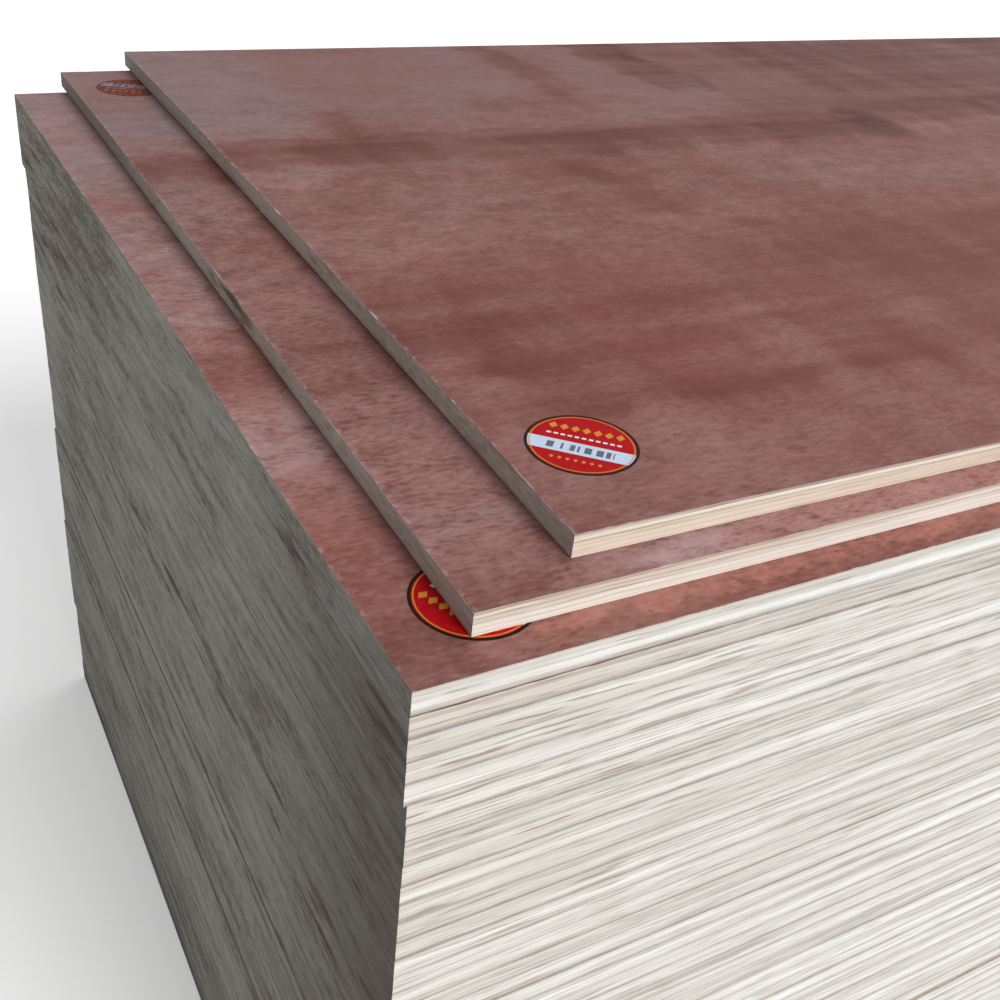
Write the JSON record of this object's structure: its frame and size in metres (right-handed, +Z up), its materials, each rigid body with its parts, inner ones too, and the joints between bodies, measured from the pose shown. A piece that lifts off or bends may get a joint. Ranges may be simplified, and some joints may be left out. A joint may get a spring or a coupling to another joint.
{
  "type": "stack of plywood sheets",
  "caption": "Tall flat pile of full-size plywood sheets with red-brown faces and pale edges, with loose sheets set back on top and round labels.",
  "frame": {"origin": "middle of the pile's underside, where it lies on the floor", "axes": "+X along the sheets' 2440 mm length, +Y across their 1220 mm width, +Z up; the loose sheets are set back from the -X, -Y corner"},
  "size_m": [2.5965, 1.2783, 1.0247],
  "materials": {
    "plywood": "matte",
    "label": "satin"
  },
  "bodies": {
    "root": {"pile_sheet_01": "plywood", "pile_sheet_02": "plywood", "pile_sheet_03": "plywood", "pile_sheet_04": "plywood", "pile_sheet_05": "plywood", "pile_sheet_06": "plywood", "pile_sheet_07": "plywood", "pile_sheet_08": "plywood", "pile_sheet_09": "plywood", "pile_sheet_10": "plywood", "pile_sheet_11": "plywood", "pile_sheet_12": "plywood", "pile_sheet_13": "plywood", "pile_sheet_14": "plywood", "pile_sheet_15": "plywood", "pile_sheet_16": "plywood", "pile_sheet_17": "plywood", "pile_sheet_18": "plywood", "pile_sheet_19": "plywood", "pile_sheet_20": "plywood", "pile_sheet_21": "plywood", "pile_sheet_22": "plywood", "pile_sheet_23": "plywood", "pile_sheet_24": "plywood", "pile_sheet_25": "plywood", "pile_sheet_26": "plywood", "pile_sheet_27": "plywood", "pile_sheet_28": "plywood", "pile_sheet_29": "plywood", "pile_sheet_30": "plywood", "pile_sheet_31": "plywood", "pile_sheet_32": "plywood", "pile_sheet_33": "plywood", "pile_sheet_34": "plywood", "pile_sheet_35": "plywood", "pile_sheet_36": "plywood", "pile_sheet_37": "plywood", "pile_sheet_38": "plywood", "pile_sheet_39": "plywood", "pile_sheet_40": "plywood", "pile_sheet_41": "plywood", "pile_sheet_42": "plywood", "pile_sheet_43": "plywood", "pile_sheet_44": "plywood", "pile_sheet_45": "plywood", "pile_sheet_46": "plywood", "pile_sheet_47": "plywood", "pile_sheet_48": "plywood", "pile_sheet_49": "plywood", "pile_sheet_50": "plywood", "pile_sheet_51": "plywood", "pile_sheet_52": "plywood", "pile_sheet_53": "plywood", "pile_sheet_54": "plywood", "loose_sheet_lower": "plywood", "loose_sheet_upper": "plywood", "label_pile": "label", "label_lower": "label", "label_upper": "label"}
  },
  "joints": []
}
